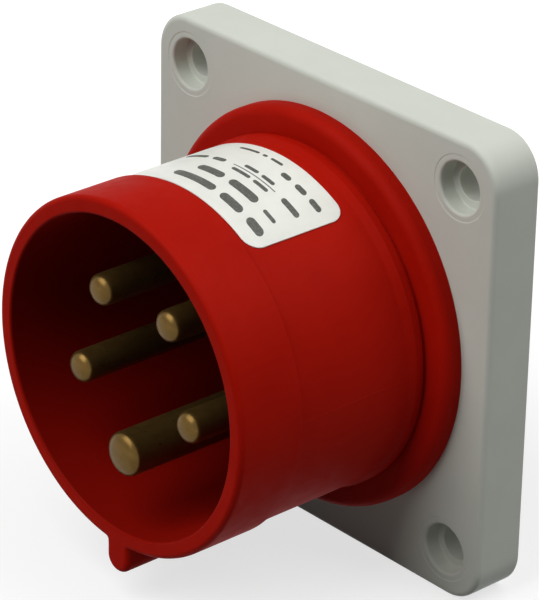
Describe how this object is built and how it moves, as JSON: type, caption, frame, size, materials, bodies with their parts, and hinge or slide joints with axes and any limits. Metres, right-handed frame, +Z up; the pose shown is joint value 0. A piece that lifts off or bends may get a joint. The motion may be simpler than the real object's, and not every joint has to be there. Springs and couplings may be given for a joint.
{
  "type": "industrial panel inlet",
  "caption": "Square-flanged round power inlet for a panel, with a keyed red shroud round brass contact pins and screw terminals behind.",
  "frame": {"origin": "centre of the flange's back face, on the axis of the barrel", "axes": "-Y along the barrel towards its mouth, +Z up, away from the key, +X to the right seen from the front"},
  "size_m": [0.075, 0.0631, 0.075],
  "materials": {
    "grey_plastic": "satin moulded",
    "red_plastic": "satin moulded",
    "insulator_plastic": "matt moulded",
    "pin_brass": "turned, slightly dull",
    "zinc_steel": "zinc plated",
    "black_rubber": "matt",
    "label_film": "satin film"
  },
  "bodies": {
    "root": {"mounting_flange": "grey_plastic", "shroud_housing": "red_plastic", "retaining_ring": "insulator_plastic", "retaining_screws": "zinc_steel", "retaining_washers": "zinc_steel", "collar_seal": "black_rubber", "panel_gasket": "black_rubber", "carrier_seal": "black_rubber", "contact_plate": "insulator_plastic", "terminal_block": "insulator_plastic", "block_screw": "zinc_steel", "block_washer": "zinc_steel", "block_nut": "zinc_steel", "terminal_screws": "zinc_steel", "rating_label": "label_film", "earth_pin": "pin_brass", "phase_pin_1": "pin_brass", "phase_pin_2": "pin_brass", "phase_pin_3": "pin_brass", "neutral_pin": "pin_brass"}
  },
  "joints": []
}
